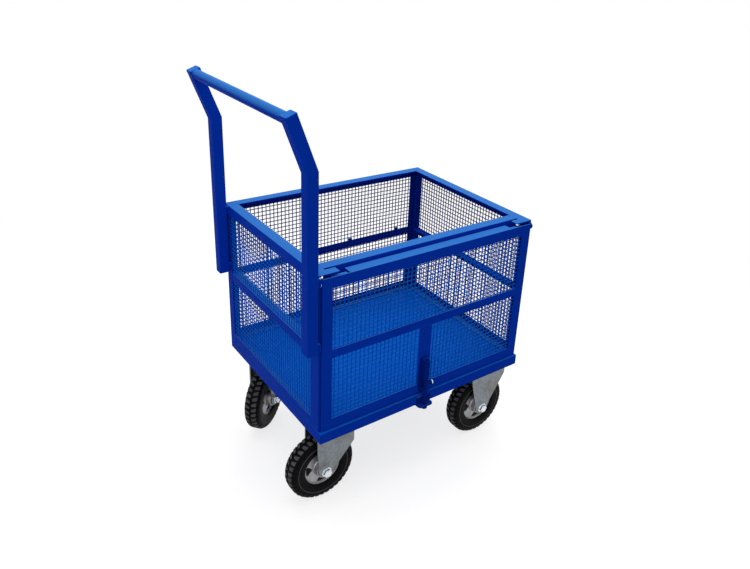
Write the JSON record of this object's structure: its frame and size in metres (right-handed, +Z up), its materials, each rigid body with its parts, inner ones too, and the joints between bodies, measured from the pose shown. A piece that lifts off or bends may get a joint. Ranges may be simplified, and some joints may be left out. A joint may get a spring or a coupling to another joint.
{
  "type": "hand cart",
  "caption": "Push cart with a wire-mesh cage on an angle-iron platform, a top-hung front gate with a slide bolt, a bent tube handle and swivel and rigid casters.",
  "frame": {"origin": "on the floor, under the middle of the cart's overall box", "axes": "+X along the platform, away from the push handle; +Y from the gate to the back wall; +Z up"},
  "size_m": [0.7908, 0.572, 1.1219],
  "materials": {
    "blue_paint": "gloss",
    "zinc_plated_steel": "satin",
    "bright_steel": "bright",
    "cast_rim": "satin cast",
    "tyre_rubber": "matt"
  },
  "bodies": {
    "frame": {"bolt_keeper": "blue_paint", "caster_bearer_far_end": "blue_paint", "caster_bearer_handle_end": "blue_paint", "corner_plate_far_end": "blue_paint", "corner_plate_handle_end": "blue_paint", "deck_sheet": "blue_paint", "handle_crossbar": "blue_paint", "handle_leg_front": "blue_paint", "handle_leg_rear": "blue_paint", "handle_pads": "blue_paint", "hinge_rod": "blue_paint", "mesh_far_end": "blue_paint", "mesh_handle_end": "blue_paint", "mesh_rear": "blue_paint", "mid_rail_far_end": "blue_paint", "mid_rail_handle_end": "blue_paint", "mid_rail_rear": "blue_paint", "panel_foot_rails": "blue_paint", "platform_far_end_rail": "blue_paint", "platform_front_rail": "blue_paint", "platform_handle_end_rail": "blue_paint", "platform_rear_rail": "blue_paint", "post_front_far_end": "blue_paint", "post_front_handle_end": "blue_paint", "post_rear_far_end": "blue_paint", "post_rear_handle_end": "blue_paint", "rigid_front_axle": "bright_steel", "rigid_front_bracket": "zinc_plated_steel", "rigid_rear_axle": "bright_steel", "rigid_rear_bracket": "zinc_plated_steel", "swivel_front_head": "zinc_plated_steel", "swivel_rear_head": "zinc_plated_steel", "top_rail_far_end": "blue_paint", "top_rail_front": "blue_paint", "top_rail_handle_end": "blue_paint", "top_rail_rear": "blue_paint"},
    "gate": {"bolt_guide": "blue_paint", "gate_bottom_rail": "blue_paint", "gate_hinge_sleeves": "blue_paint", "gate_latch_stile": "blue_paint", "gate_mesh": "blue_paint", "gate_mid_rail": "blue_paint", "gate_stile_far_end": "blue_paint", "gate_stile_handle_end": "blue_paint", "gate_top_rail": "blue_paint"},
    "gate_bolt": {"gate_bolt": "blue_paint"},
    "swivel_front_fork": {"swivel_front_fork": "zinc_plated_steel", "swivel_front_axle": "bright_steel"},
    "swivel_rear_fork": {"swivel_rear_fork": "zinc_plated_steel", "swivel_rear_axle": "bright_steel"},
    "swivel_front_wheel": {"swivel_front_rim": "cast_rim", "swivel_front_tyre": "tyre_rubber"},
    "swivel_rear_wheel": {"swivel_rear_rim": "cast_rim", "swivel_rear_tyre": "tyre_rubber"},
    "rigid_front_wheel": {"rigid_front_rim": "cast_rim", "rigid_front_tyre": "tyre_rubber"},
    "rigid_rear_wheel": {"rigid_rear_rim": "cast_rim", "rigid_rear_tyre": "tyre_rubber"}
  },
  "joints": [
    {"name": "gate_hinge", "type": "hinge", "parent": "frame", "child": "gate", "pos_m": [0.04037, -0.247, 0.70702], "axis": [-1, 0, 0], "range_deg": [0, 115]},
    {"name": "gate_bolt_slide", "type": "slide", "parent": "gate", "child": "gate_bolt", "axis": [0, 0, 1], "range_m": [-0.01, 0.01]},
    {"name": "swivel_front_turn", "type": "hinge", "parent": "frame", "child": "swivel_front_fork", "pos_m": [-0.22263, -0.18, 0.23], "axis": [0, 0, 1], "continuous": true},
    {"name": "swivel_front_wheel_spin", "type": "hinge", "parent": "swivel_front_fork", "child": "swivel_front_wheel", "pos_m": [-0.26263, -0.18, 0.1], "axis": [0, 1, 0], "continuous": true},
    {"name": "swivel_rear_turn", "type": "hinge", "parent": "frame", "child": "swivel_rear_fork", "pos_m": [-0.22263, 0.202, 0.23], "axis": [0, 0, 1], "continuous": true},
    {"name": "swivel_rear_wheel_spin", "type": "hinge", "parent": "swivel_rear_fork", "child": "swivel_rear_wheel", "pos_m": [-0.25415, 0.17737, 0.1], "axis": [-0.6157, 0.788, 0], "continuous": true},
    {"name": "rigid_front_wheel_spin", "type": "hinge", "parent": "frame", "child": "rigid_front_wheel", "pos_m": [0.29237, -0.198, 0.1], "axis": [0, 1, 0], "continuous": true},
    {"name": "rigid_rear_wheel_spin", "type": "hinge", "parent": "frame", "child": "rigid_rear_wheel", "pos_m": [0.29237, 0.22, 0.1], "axis": [0, 1, 0], "continuous": true}
  ]
}
